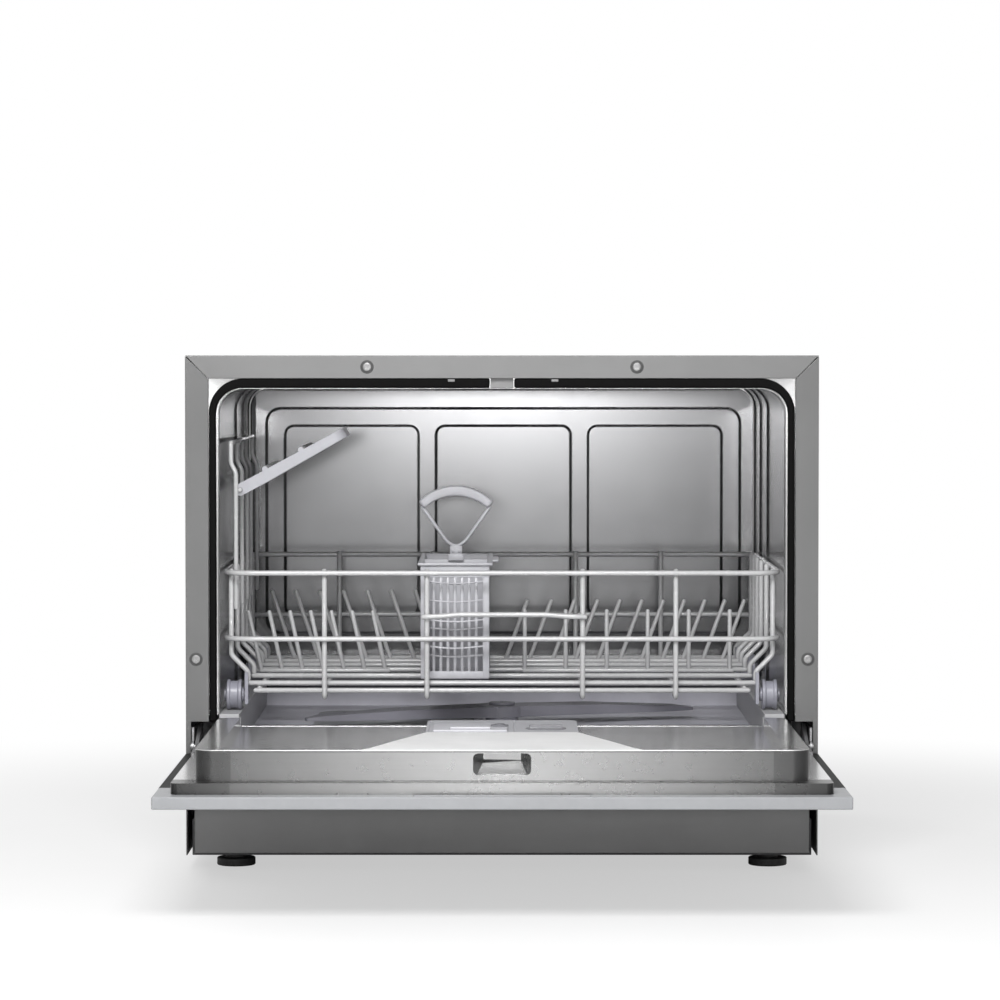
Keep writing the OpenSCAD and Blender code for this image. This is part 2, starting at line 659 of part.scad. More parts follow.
// the shelf's outline seen from above, cut back towards its far corner
module shelf_outline(x, inset) difference() {
    soft_rect(x, [shelf_y[0] + inset, shelf_y[1] - inset], 12 - inset);
    polygon([[70.7 - 1.04 * inset, shelf_y[1] + 5], [shelf_len + 7, shelf_y[1] + 5],
        [shelf_len + 7, 86 - 3.9 * inset]]);
}
module cup_shelf() color("whitesmoke") translate([shelf_axis[0], 0, shelf_axis[1]])
    rotate([0, -shelf_tilt, 0]) {
    low = shelf_y[0];
    high = shelf_y[1];
    difference() {
        union() {
            rod_y(0, shelf_y, 0, shelf_half);
            block([0, 20], shelf_y, [-shelf_half, shelf_half]);
            up_from([-shelf_half, shelf_half]) shelf_outline([6, shelf_len], 0);
        }
        up_from([-1.5, shelf_half + 1]) shelf_outline([10, shelf_len - 3], 3);
        for (i = [0:7]) up_from([-shelf_half - 1, 0]) intersection() {
            soft_rect([18, shelf_len - 12], [low + 14 + i * 21, low + 24 + i * 21], 4);
            shelf_outline([10, shelf_len - 9], 9);
        }
        // the underside rises to the tip
        along_y([low - 1, high + 1]) polygon([[20, -shelf_half - 0.1],
            [shelf_len + 1, -shelf_half - 0.1], [shelf_len + 1, -2.9]]);
        // room for the posts, and the bore for the spindle
        for (i = [1, 2]) block([-8, 4], [post_y[i] - 3, post_y[i] + 3], [-8, 8]);
        rod_y(0, [low - 1, high + 1], 0, spindle_r + run);
    }
    for (x = [28, 64]) rod_y(x, shelf_y, shelf_half + 0.6, 2.6);
}
// ---- cutlery basket ----
module cutlery_basket() color("lavender") {
    wall = 2.2;
    inner_x = [cut_x[0] + wall, cut_x[1] - wall];
    inner_y = [cut_y[0] + wall, cut_y[1] - wall];
    mid = (cut_x[0] + cut_x[1]) / 2;
    my = (cut_y[0] + cut_y[1]) / 2;
    pitch_x = 6.2;
    pitch_z = 15.6;
    difference() {
        block(cut_x, cut_y, cut_z);
        block(inner_x, inner_y, [cut_z[0] + wall, cut_z[1] + 1]);
        for (i = [0:6], k = [0:4]) block(
            [mid + (i - 3.5) * pitch_x + 1.2, mid + (i - 2.5) * pitch_x - 1.2],
            [cut_y[0] - 1, cut_y[1] + 1],
            [cut_z[0] + 8 + k * pitch_z, cut_z[0] + 5 + (k + 1) * pitch_z]);
        for (i = [0:7], k = [0:1]) block(
            [cut_x[0] - 1, cut_x[1] + 1], [cut_y[0] + 10 + i * 19.6, cut_y[0] + 24 + i * 19.6],
            [cut_z[0] + 8 + k * 40, cut_z[0] + 42 + k * 40]);
    }
    difference() {
        block([cut_x[0] - 2, cut_x[1] + 8], [cut_y[0] - 2, cut_y[1] + 2],
            [cut_z[1] - eps, cut_z[1] + rim_h]);
        block(inner_x, inner_y, [cut_z[1] - 1, cut_z[1] + rim_h + 1]);
    }
    // cross wall that carries the handle
    block([inner_x[0] - eps, inner_x[1] + eps], [my - 1.5, my + 1.5],
        [cut_z[0] + 1, cut_z[1] + rim_h]);
    block([mid - 7, mid + 7], [my - 4, my + 4], [cut_z[1] + rim_h - eps, cut_z[1] + rim_h + 6]);
    handle(mid, my);
}
module handle(mid, my) {
    outer_r = 38;
    legs = cut_z[1] + rim_h + 5;
    along_y([my - 4, my + 4]) for (s = [-1, 1]) translate([mid, 0]) polygon([
        [s * 1.6, legs], [s * 5.4, legs], [s * 33.2, grip_z - 20], [s * 29.8, grip_z - 18]]);
    // the grip is thickest in its middle
    along_y([my - 5, my + 5]) intersection() {
        difference() {
            translate([mid, grip_z - outer_r]) circle(outer_r);
            translate([mid, grip_z - outer_r - 5]) circle(outer_r - 4.4);
        }
        translate([mid - 40, grip_z - 20.5]) square([80, 30]);
    }
}

centred() base_tray();
centred() adjustable_feet();
centred() plinth_panel();
centred() left_side_panel();
centred() right_side_panel();
centred() top_panel();
centred() back_panel();
centred() front_screws();
centred() tub();
centred() tub_floor();
centred() tub_sill();
centred() roller_rails();
centred() door_gasket();
centred() lower_door_seal();
centred() latch_bolt();
centred() hinge_brackets();
centred() hinge_pins();
centred() door_springs();
centred() sump();
centred() flat_filter();
centred() filter_cylinder();
centred() wash_pump();
centred() drain_pump();
centred() flow_heater();
centred() softener_tank();
centred() salt_cap();
centred() float_bell();
centred() inlet_valve();
centred() drain_spigot();
centred() cable_gland();
centred() spray_arm();
centred() spray_arm_nut();
centred() outer_door_panel();
centred() control_panel();
centred() door_liner();
centred() hinge_arms();
centred() control_board();
centred() display_window();
centred() button(0);  // power_button
centred() button(1);  // program_button
centred() button(2);  // half_load_button
centred() button(3);  // delay_button
centred() button(4);  // start_button
centred() dispenser_body();
centred() dispenser_lid();
centred() rinse_aid_cap();
centred() basket_rails();
centred() floor_wires();
centred() side_wires();
centred() length_wires();
centred() left_tine_rows();
centred() right_tine_rows();
centred() roller_brackets();
centred() front_left_roller();
centred() front_right_roller();
centred() rear_left_roller();
centred() rear_right_roller();
centred() shelf_rack();
centred() cup_shelf();
centred() cutlery_basket();
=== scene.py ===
import json
import math
import bpy
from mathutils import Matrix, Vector


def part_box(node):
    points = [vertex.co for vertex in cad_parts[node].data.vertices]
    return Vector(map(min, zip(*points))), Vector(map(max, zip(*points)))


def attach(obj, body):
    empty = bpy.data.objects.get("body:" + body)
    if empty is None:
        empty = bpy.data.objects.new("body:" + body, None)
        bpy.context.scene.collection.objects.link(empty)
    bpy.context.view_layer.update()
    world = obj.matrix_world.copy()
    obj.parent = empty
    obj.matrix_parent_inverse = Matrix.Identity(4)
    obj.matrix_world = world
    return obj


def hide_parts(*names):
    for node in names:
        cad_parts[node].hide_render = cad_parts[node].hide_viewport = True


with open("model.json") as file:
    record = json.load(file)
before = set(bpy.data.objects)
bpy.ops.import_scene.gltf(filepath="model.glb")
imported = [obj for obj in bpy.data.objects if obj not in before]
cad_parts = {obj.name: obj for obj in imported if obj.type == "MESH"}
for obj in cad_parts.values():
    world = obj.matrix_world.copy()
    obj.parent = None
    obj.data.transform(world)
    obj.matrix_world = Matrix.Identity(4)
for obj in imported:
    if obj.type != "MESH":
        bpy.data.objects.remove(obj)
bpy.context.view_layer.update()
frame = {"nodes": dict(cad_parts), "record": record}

# Sizes below are in millimetres, measured from the cabinet's front face and up from the worktop it stands on.
mm = 0.001
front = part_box("top_panel")[0][1]
record = frame["record"]
bodyOf = {node: body for body, nodes in record["behaviour"]["bodies"].items() for node in nodes}
slotOf = {row["node"]: row["material_slot"] for row in record["subparts"]}


def at(x, y, z):
    return Vector((x * mm, front + y * mm, z * mm))


camera = dict(distance=3400, height=446, aside=-1.7, lens=140.8, tiltDown=2.05)


def makeCamera():
    bpy.ops.object.camera_add(location=at(camera["aside"], -camera["distance"], camera["height"]),
                              rotation=(math.radians(90 - camera["tiltDown"]), 0, 0))
    cam = bpy.context.object
    cam.name = "photoCamera"
    cam.data.sensor_width = 36
    cam.data.lens = camera["lens"]
    cam.data.clip_end = 60
    bpy.context.scene.camera = cam
    print("stage: camera")


lamps = [
    dict(name="keyLamp", place=(0, -3600, 484), aim=(0, 300, 390), size=(0.52, 0.12), watts=9.6),
    dict(name="topLamp", place=(-160, -1500, 1350), aim=(0, 0, 200), size=(0.9, 0.5), watts=36),
    # lights the floor in front, which the end of the open door mirrors
    dict(name="floorLamp", place=(0, -1580, 480), aim=(0, -1580, 0), size=(0.7, 0.5), watts=10),
    dict(name="backLamp", place=(-1300, 1500, 1300), aim=(0, 200, 250), size=(1.2, 1.2), watts=8),
]


def makeLamps():
    for lamp in lamps:
        place, aim = at(*lamp["place"]), at(*lamp["aim"])
        turn = (aim - place).to_track_quat("-Z", "Y").to_euler()
        bpy.ops.object.light_add(type="AREA", location=place, rotation=turn)
        made = bpy.context.object
        made.name = lamp["name"]
        made.data.shape = "RECTANGLE"
        made.data.size, made.data.size_y = lamp["size"]
        made.data.energy = lamp["watts"]
    print("stage: lamps")


class Wire:
    # a shader socket that Python's own signs work on
    def __init__(self, finish, socket):
        self.finish, self.socket = finish, socket

    def maths(self, operation, first, second):
        made = self.finish.tree.nodes.new("ShaderNodeMath")
        made.operation = operation
        self.finish.feed(made.inputs[0], first)
        self.finish.feed(made.inputs[1], second)
        return Wire(self.finish, made.outputs[0])

    def __add__(self, other): return self.maths("ADD", self, other)
    def __radd__(self, other): return self.maths("ADD", other, self)
    def __sub__(self, other): return self.maths("SUBTRACT", self, other)
    def __rsub__(self, other): return self.maths("SUBTRACT", other, self)
    def __mul__(self, other): return self.maths("MULTIPLY", self, other)
    def __rmul__(self, other): return self.maths("MULTIPLY", other, self)
    def __abs__(self): return self.maths("ABSOLUTE", self, 0.0)
    def __gt__(self, other): return self.maths("GREATER_THAN", self, other)
    def __lt__(self, other): return self.maths("LESS_THAN", self, other)


class Finish:
    # one material and the nodes that make it
    def __init__(self, name):
        self.material = bpy.data.materials.new(name)
        self.material.use_nodes = True
        self.tree = self.material.node_tree
        self.tree.nodes.clear()
        self.shader = self.tree.nodes.new("ShaderNodeBsdfPrincipled")
        output = self.tree.nodes.new("ShaderNodeOutputMaterial")
        self.tree.links.new(self.shader.outputs[0], output.inputs[0])
        self.coords = self.node("ShaderNodeTexCoord", out="Object")

    def feed(self, socket, value):
        if isinstance(value, Wire):
            self.tree.links.new(value.socket, socket)
        else:
            socket.default_value = value

    def node(self, kind, settings=None, out=0, **values):
        made = self.tree.nodes.new(kind)
        for key, value in (settings or {}).items():
            if key == "stops":
                for stop, (place, colour) in zip(made.color_ramp.elements, value):
                    stop.position, stop.color = place, colour
            else:
                setattr(made, key, value)
        for key, value in values.items():
            self.feed(made.inputs[key], value)
        return Wire(self, made.outputs[out])

    def noise(self, size, stretch=(1, 1, 1), detail=3.0):
        # size is in millimetres
        spread = self.node("ShaderNodeMapping", Vector=self.coords, Scale=tuple(s / (size * mm) for s in stretch))
        return self.node("ShaderNodeTexNoise", Vector=spread, Scale=1.0, Detail=detail, Roughness=0.55)

    def ramp(self, amount, dark, light):
        return self.node("ShaderNodeValToRGB", {"stops": [(0.25, dark), (0.75, light)]}, Fac=amount)

    def place(self):
        # the three object coordinates, in metres
        split = self.tree.nodes.new("ShaderNodeSeparateXYZ")
        self.feed(split.inputs[0], self.coords)
        return [Wire(self, socket) for socket in split.outputs]

    def bump(self, height, depth, strength=1.0):
        # depth is in millimetres
        return self.node("ShaderNodeBump", Height=height, Distance=depth * mm, Strength=strength)

    def set(self, **values):
        for key, value in values.items():
            self.feed(self.shader.inputs[key.replace("_", " ")], value)
        return self.material


def shade(tint, factor):
    return tuple(min(c * factor, 1.0) for c in tint) + (1.0,)


def brushedSteel(name, tint, rough, along, slant=1.0):
    # along is the axis that the brush marks run on; slant is how much it mirrors at a low angle
    finish = Finish(name)
    finish.set(Specular_Tint=(slant, slant, slant, 1.0))
    stretch = [1.0, 1.0, 1.0]
    stretch[along] = 0.012
    grain = finish.noise(0.25, stretch, 4.0)
    cloud = finish.noise(70)
    smear = finish.noise(16)
    mixed = cloud * 0.6 + grain * 0.4
    return finish.set(
        Base_Color=finish.ramp(mixed, shade(tint, 0.92), shade(tint, 1.07)),
        Metallic=1.0,
        Roughness=rough - 0.06 + smear * 0.06 + grain * 0.07,
        Normal=finish.bump(grain, 0.02, 0.35))


def pressedSteel(name, tint, rough):
    # bright sheet with soft upright rolling marks and a faint cloudiness
    finish = Finish(name)
    rolling = finish.noise(1.4, (1, 1, 0.02))
    cloud = finish.noise(140)
    stain = finish.noise(26)
    mixed = cloud * 0.6 + stain * 0.2 + rolling * 0.2
    return finish.set(
        Base_Color=finish.ramp(mixed, shade(tint, 0.95), shade(tint, 1.05)),
        Metallic=1.0,
        Roughness=rough - 0.03 + stain * 0.03 + cloud * 0.03,
        Normal=finish.bump(rolling, 0.002, 0.1))


def mouldedPlastic(name, tint, rough, depth=0.03, coat=0.0):
    # moulded plastic with a fine spark-eroded grain and slight handling marks
    finish = Finish(name)
    fine = finish.noise(0.7)
    cloud = finish.noise(38)
    scuff = finish.noise(6, (1, 0.25, 1))
    mixed = cloud * 0.65 + scuff * 0.35
    return finish.set(
        Base_Color=finish.ramp(mixed, shade(tint, 0.93), shade(tint, 1.06)),
        Roughness=rough - 0.07 + scuff * 0.09 + fine * 0.05,
        Coat_Weight=coat,
        Normal=finish.bump(fine, depth, 0.5))


def sealRubber(name, tint, gloss=0.5):
    finish = Finish(name)
    finish.set(Specular_IOR_Level=gloss)
    dust = finish.noise(3)
    fine = finish.noise(0.4)
    return finish.set(
        Base_Color=finish.ramp(dust, shade(tint, 0.7), shade(tint, 1.6)),
        Roughness=0.52 + dust * 0.16,
        Normal=finish.bump(fine, 0.03, 0.5))


def coatedWire(name, tint):
    # dip-coated wire: a gloss coat with small runs in it
    finish = Finish(name)
    runs = finish.noise(5)
    cloud = finish.noise(60)
    return finish.set(
        Base_Color=finish.ramp(cloud * 0.6 + runs * 0.4, shade(tint, 0.92), shade(tint, 1.06)),
        Roughness=0.2 + runs * 0.12,
        Coat_Weight=0.5,
        Normal=finish.bump(runs, 0.1, 0.4))


def glossPlastic(name, tint, rough):
    finish = Finish(name)
    cloud = finish.noise(30)
    fine = finish.noise(1.5)
    return finish.set(
        Base_Color=finish.ramp(cloud, shade(tint, 0.9), shade(tint, 1.1)),
        Roughness=rough + fine * 0.08,
        Coat_Weight=0.6,
        Normal=finish.bump(fine, 0.01, 0.3))


linerZones = dict(plateauStart=-160, plateauHalf=61, plateauLevel=133, end=-313.5, endSlack=0.8, foldLevel=136.8,
                  pocketDeep=15.5, pocketHalf=22.4, pocketLow=117, pocketTop=135.4, pocketLip=0.4, pocketBack=15,
                  glowHalf=215)
linerSlopes = dict(plateau=0.33, pocket=0.516)


def linerSteel(name, tint, rough):
    # pressed sheet: polished in its lowered fields, satin with a painted sheen on its raised middle, and darker on its
    # end as a painted reflection
    zones = {key: value * mm for key, value in linerZones.items()}
    finish = Finish(name)
    x, y, z = finish.place()
    across = abs(x)
    start = front + zones["plateauStart"]
    deep = y - (front + zones["end"])
    end = (deep < zones["pocketDeep"] + zones["endSlack"]) * (z < zones["foldLevel"])
    halfWidth = (start - y) * linerSlopes["plateau"] + zones["plateauHalf"]
    # the raised middle: a satin finish, with a lighter colour there that is a painted sheen
    satinAndPaintedSheen = (across < halfWidth) * (y < start) * (z > zones["plateauLevel"]) * (1.0 - end)
    pocket = (across < zones["pocketHalf"] - deep * linerSlopes["pocket"]) * (deep > zones["pocketLip"])
    pocket = pocket * end * (z > zones["pocketLow"]) * (z < zones["pocketTop"])
    # the pocket's back wall, which gets painted shade; the rest of the pocket gets a little painted light
    pocketBack = pocket * (deep > zones["pocketBack"])
    flat = end - pocket
    # the outer sides of the end's flat, where the painted reflection is darker still
    corner = flat * (across > zones["glowHalf"])
    cloud = finish.noise(90)
    stain = finish.noise(11)
    grain = finish.noise(1.4, (0.012, 1, 1))
    mixed = cloud * 0.6 + stain * 0.15 + grain * 0.25
    # painted light: the flat of the end is darker than the rest and darkest at its sides, a painted reflection; the
    # raised middle gets a painted sheen, the pocket a little painted light and its back wall painted shade
    paintedLightTone = 1.0 + satinAndPaintedSheen * 0.42 + pocket * 0.1 - pocketBack * 0.7
    paintedLightTone = paintedLightTone - flat * (across * 1.38 + 0.52) - corner * 0.05
    return finish.set(
        Base_Color=(mixed * 0.4 + 0.8) * paintedLightTone * tint,
        Metallic=0.9 - satinAndPaintedSheen * 0.55,
        Roughness=rough - 0.04 + stain * 0.05 + cloud * 0.03 + satinAndPaintedSheen * 0.3 + flat * 0.08,
        Normal=finish.bump(grain, 0.004, 0.15))


def circuitBoard(name):
    finish = Finish(name)
    tracks = finish.node("ShaderNodeTexVoronoi", Vector=finish.coords, Scale=260.0)
    return finish.set(
        Base_Color=finish.ramp(tracks, (0.01, 0.09, 0.03, 1), (0.03, 0.2, 0.08, 1)),
        Roughness=0.35 + tracks * 0.2)


def makeFinishes():
    made = {
        "cabinet_steel": brushedSteel("cabinetSteel", (0.15, 0.15, 0.15), 0.42, 0),
        # the sides' steel is brushed upright, and its colour, darker than the top's, is painted shade
        "shadedSideSteel": brushedSteel("shadedSideSteel", (0.125, 0.125, 0.125), 0.4, 2),
        "tub_steel": pressedSteel("tubSteel", (0.43, 0.43, 0.43), 0.16),
        # the back wall is the tub's own steel with a darker colour: painted shade
        "shadedBackWallSteel": pressedSteel("shadedBackWallSteel", (0.15, 0.15, 0.153), 0.185),
        "door_steel": brushedSteel("doorSteel", (0.11, 0.11, 0.11), 0.36, 0, slant=0.25),
        "linerSteel": linerSteel("linerSteel", 0.6, 0.2),
        "hinge_steel": pressedSteel("hingeSteel", (0.25, 0.25, 0.255), 0.4),
        "screw_steel": pressedSteel("screwSteel", (0.22, 0.22, 0.22), 0.34),
        "screwSeat": sealRubber("screwSeat", (0.035, 0.035, 0.035)),
        "seamShadow": sealRubber("seamShadow", (0.06, 0.06, 0.06)),
        "heater_steel": pressedSteel("heaterSteel", (0.55, 0.55, 0.55), 0.3),
        "base_plastic": mouldedPlastic("basePlastic", (0.06, 0.06, 0.063), 0.5),
        "foot_rubber": sealRubber("footRubber", (0.025, 0.025, 0.025)),
        "seal_rubber": sealRubber("gasketRubber", (0.002, 0.002, 0.002), 0.06),
        "floor_plastic": mouldedPlastic("floorPlastic", (0.53, 0.525, 0.58), 0.4, depth=0.01),
        "arm_plastic": mouldedPlastic("armPlastic", (0.2, 0.197, 0.225), 0.38, depth=0.01),
        "rail_plastic": mouldedPlastic("railPlastic", (0.36, 0.36, 0.37), 0.4),
        "latch_plastic": mouldedPlastic("latchPlastic", (0.2, 0.2, 0.2), 0.42),
        "panel_plastic": mouldedPlastic("panelPlastic", (0.24, 0.245, 0.255), 0.4),
        "button_plastic": glossPlastic("buttonPlastic", (0.42, 0.43, 0.45), 0.2),
        "display_black": glossPlastic("displayBlack", (0.012, 0.012, 0.014), 0.06),
        "board_green": circuitBoard("boardGreen"),
        "dispenser_plastic": mouldedPlastic("dispenserPlastic", (0.42, 0.42, 0.445), 0.38),
        "cap_plastic": mouldedPlastic("capPlastic", (0.17, 0.17, 0.185), 0.33, coat=0.2),
        "wire_coating": coatedWire("wireCoating", (0.44, 0.44, 0.445)),
        "roller_plastic": mouldedPlastic("rollerPlastic", (0.25, 0.25, 0.29), 0.34),
        "basket_plastic": mouldedPlastic("basketPlastic", (0.38, 0.38, 0.405), 0.32, depth=0.02),
        "shelf_plastic": mouldedPlastic("shelfPlastic", (0.34, 0.34, 0.365), 0.34, depth=0.02),
        "filter_plastic": mouldedPlastic("filterPlastic", (0.26, 0.265, 0.285), 0.42),
        "pump_plastic": mouldedPlastic("pumpPlastic", (0.2, 0.2, 0.21), 0.45),
        "lidPlastic": mouldedPlastic("lidPlastic", (0.5, 0.5, 0.53), 0.35),
        "fitting_plastic": mouldedPlastic("fittingPlastic", (0.5, 0.5, 0.5), 0.4),
    }
    print("stage: finishes", len(made))
    return made


def deselect():
    if bpy.context.object and bpy.context.object.mode != "OBJECT":
        bpy.ops.object.mode_set(mode="OBJECT")
    bpy.ops.object.select_all(action="DESELECT")


def pick(piece):
    deselect()
    bpy.context.view_layer.objects.active = piece
    piece.select_set(True)
    return piece


def modify(piece, kind, **settings):
    pick(piece)
    made = piece.modifiers.new(kind, kind)
    for key, value in settings.items():
        setattr(made, key, value)
    bpy.ops.object.modifier_apply(modifier=made.name)
    return piece


def smooth(piece, angle=40):
    pick(piece)
    bpy.ops.object.shade_smooth_by_angle(angle=math.radians(angle))
    return piece


def dress(piece, name, node, finish, standsFor=True):
    # names a finished piece, gives it its finish, and lets it stand for its node
    pick(piece)
    bpy.ops.object.transform_apply(location=True, rotation=True, scale=True)
    piece.name = name
    piece.data.materials.clear()
    piece.data.materials.append(finish)
    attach(piece, bodyOf[node])
    if standsFor:
        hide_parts(node)
    return piece


def join(pieces):
    deselect()
    for piece in pieces:
        piece.select_set(True)
    bpy.context.view_layer.objects.active = pieces[0]
    if len(pieces) > 1:
        bpy.ops.object.join()
    return bpy.context.object


def copyNode(node):
    # a merged copy of a CAD node's mesh
    source = frame["nodes"][node]
    piece = source.copy()
    piece.data = source.data.copy()
    piece.parent = None
    piece.hide_render = False
    piece.hide_viewport = False
    bpy.context.scene.collection.objects.link(piece)
    pick(piece)
    bpy.ops.object.mode_set(mode="EDIT")
    bpy.ops.mesh.select_all(action="SELECT")
    bpy.ops.mesh.remove_doubles(threshold=0.00002)
    bpy.ops.mesh.dissolve_limited(angle_limit=math.radians(0.6))
    bpy.ops.object.mode_set(mode="OBJECT")
    return piece


def softEdges(node, name, finish, width, segments=2):
    # a CAD node's own shape with its edges rounded
    piece = copyNode(node)
    modify(piece, "BEVEL", width=width * mm, segments=segments, limit_method="ANGLE",
           angle_limit=math.radians(35), use_clamp_overlap=True, miter_outer="MITER_ARC")
    smooth(piece, 50)
    modify(piece, "WEIGHTED_NORMAL", keep_sharp=True)
    return dress(piece, name, node, finish)


def box(x, y, z, bevel=0.6, segments=2):
    low, high = at(x[0], y[0], z[0]), at(x[1], y[1], z[1])
    deselect()
    bpy.ops.mesh.primitive_cube_add(size=1, location=(low + high) / 2)
    piece = bpy.context.object
    piece.scale = high - low
    bpy.ops.object.transform_apply(location=True, rotation=True, scale=True)
    modify(piece, "BEVEL", width=bevel * mm, segments=segments, limit_method="ANGLE")
    return smooth(piece, 50)


def rod(start, end, radius, sides=32, bevel=0.4):
    # a round bar between two points, with softened ends
    a, b = at(*start), at(*end)
    deselect()
    bpy.ops.mesh.primitive_cylinder_add(vertices=sides, radius=radius * mm, depth=(b - a).length,
                                        location=(a + b) / 2, rotation=(b - a).to_track_quat("Z", "Y").to_euler())
    piece = bpy.context.object
    bpy.ops.object.transform_apply(location=True, rotation=True, scale=True)
    modify(piece, "BEVEL", width=bevel * mm, segments=3, limit_method="ANGLE")
    return smooth(piece, 50)


def fineNear(low, high, edges, fine=0.7, reach=4.5, coarse=9):
    # places from low to high, close together near each edge
    places, spot = [low], low
    while spot < high - fine / 2:
        near = min(abs(spot - edge) for edge in edges)
        step = fine if near <= reach else min(coarse, max(fine, (near - reach) * 0.7))
        spot = min(spot + step, high)
        places.append(spot)
    return places


def sheet(columns, rows, place, thickness=0.0, inward=1.0):
    # a grid with one point for each column and row, put where place says
    deselect()
    across, along = len(columns) - 1, len(rows) - 1
    bpy.ops.mesh.primitive_grid_add(x_subdivisions=across, y_subdivisions=along, size=1)
    piece = bpy.context.object
    for point in piece.data.vertices:
        column = columns[round((point.co.x + 0.5) * across)]
        row = rows[round((point.co.y + 0.5) * along)]
        point.co = at(*place(column, row))
    piece.data.update()
    if thickness:
        modify(piece, "SOLIDIFY", thickness=thickness * mm, offset=inward)
    pick(piece)
    bpy.ops.object.shade_smooth()
    return piece


def ring(x, y, z, wall, bevel=0.8, segments=3):
    # an upright-sided frame: a plane, inset, its middle taken out, then given height
    low, high = at(x[0], y[0], z[0]), at(x[1], y[1], z[0])
    deselect()
    bpy.ops.mesh.primitive_plane_add(size=1, location=(low + high) / 2)
    piece = bpy.context.object
    piece.scale = (high.x - low.x, high.y - low.y, 1)
    bpy.ops.object.transform_apply(location=True, rotation=True, scale=True)
    bpy.ops.object.mode_set(mode="EDIT")
    bpy.ops.mesh.select_all(action="SELECT")
    bpy.ops.mesh.inset(thickness=wall * mm)
    bpy.ops.mesh.delete(type="FACE")
    bpy.ops.mesh.select_all(action="SELECT")
    bpy.ops.mesh.extrude_region_move(TRANSFORM_OT_translate={"value": (0, 0, (z[1] - z[0]) * mm)})
    bpy.ops.mesh.select_all(action="SELECT")
    bpy.ops.mesh.normals_make_consistent(inside=False)
    bpy.ops.object.mode_set(mode="OBJECT")
    modify(piece, "BEVEL", width=bevel * mm, segments=segments, limit_method="ANGLE")
    return smooth(piece, 50)


def plate(outline, y, bevel=0.8, segments=3):
    # a flat shape drawn on X and Z, given its thickness along Y
    deselect()
    bpy.ops.mesh.primitive_circle_add(vertices=len(outline), radius=1, fill_type="NGON")
    piece = bpy.context.object
    for point, (x, z) in zip(piece.data.vertices, outline):
        point.co = at(x, y[0], z)
    bpy.ops.object.mode_set(mode="EDIT")
    bpy.ops.mesh.select_all(action="SELECT")
    bpy.ops.mesh.extrude_region_move(TRANSFORM_OT_translate={"value": (0, (y[1] - y[0]) * mm, 0)})
    bpy.ops.mesh.select_all(action="SELECT")
    bpy.ops.mesh.normals_make_consistent(inside=False)
    bpy.ops.object.mode_set(mode="OBJECT")
    modify(piece, "BEVEL", width=bevel * mm, segments=segments, limit_method="ANGLE", angle_limit=math.radians(50))
    return smooth(piece, 50)


def eased(t):
    t = max(0.0, min(1.0, t))
    return t * t * (3 - 2 * t)


def gap(px, py, x, y, radius):
    # how far a point lies outside a round-cornered field; less than 0 inside it
    hx, hy = (x[1] - x[0]) / 2 - radius, (y[1] - y[0]) / 2 - radius
    dx, dy = abs(px - sum(x) / 2) - hx, abs(py - sum(y) / 2) - hy
    return math.hypot(max(dx, 0), max(dy, 0)) + min(max(dx, dy), 0) - radius


def filleted(points, radius, steps=6):
    # the points of a bent wire, each corner turned through an arc
    out = [Vector(points[0])]
    for before, corner, after in zip(points, points[1:], points[2:]):
        corner = Vector(corner)
        back, on = Vector(before) - corner, Vector(after) - corner
        reach = min(radius, back.length * 0.45, on.length * 0.45)
        a, b = corner + back.normalized() * reach, corner + on.normalized() * reach
        for i in range(steps + 1):
            t = i / steps
            out.append(a * (1 - t) ** 2 + corner * 2 * t * (1 - t) + b * t ** 2)
    out.append(Vector(points[-1]))
    return out


def wires(runs, radius, bend=9, closed=False, rounding=4):
    # bent wires as one mesh; each run is a list of points
    deselect()
    bpy.ops.curve.primitive_bezier_curve_add(location=(0, 0, 0))
    piece = bpy.context.object
    piece.data.splines.clear()
    piece.data.dimensions = "3D"
    piece.data.bevel_depth = radius * mm
    piece.data.bevel_resolution = rounding
    piece.data.use_fill_caps = True
    for run in runs:
        if closed:
            middle = (Vector(run[0]) + Vector(run[-1])) / 2
            points = filleted([middle] + list(run) + [middle], bend)[:-1]
        else:
            points = filleted(run, bend)
            # two more points at each end, where the wire narrows to a rounded tip
            tip = radius * 0.7
            begin, end = points[0], points[-1]
            on, back = (points[1] - begin).normalized() * tip, (points[-2] - end).normalized() * tip
            points = [begin, begin + on * 0.35, begin + on, *points[1:-1], end + back, end + back * 0.35, end]
        line = piece.data.splines.new("POLY")
        line.points.add(len(points) - 1)
        for spot, point in zip(line.points, points):
            spot.co = tuple(at(*point)) + (1,)
        line.use_cyclic_u = closed
        if not closed:
            for index, size in ((0, 0.45), (1, 0.82), (-1, 0.45), (-2, 0.82)):
                line.points[index].radius = size
    bpy.ops.object.convert(target="MESH")
    piece = bpy.context.object
    bpy.ops.object.shade_smooth()
    return smooth(piece, 60)


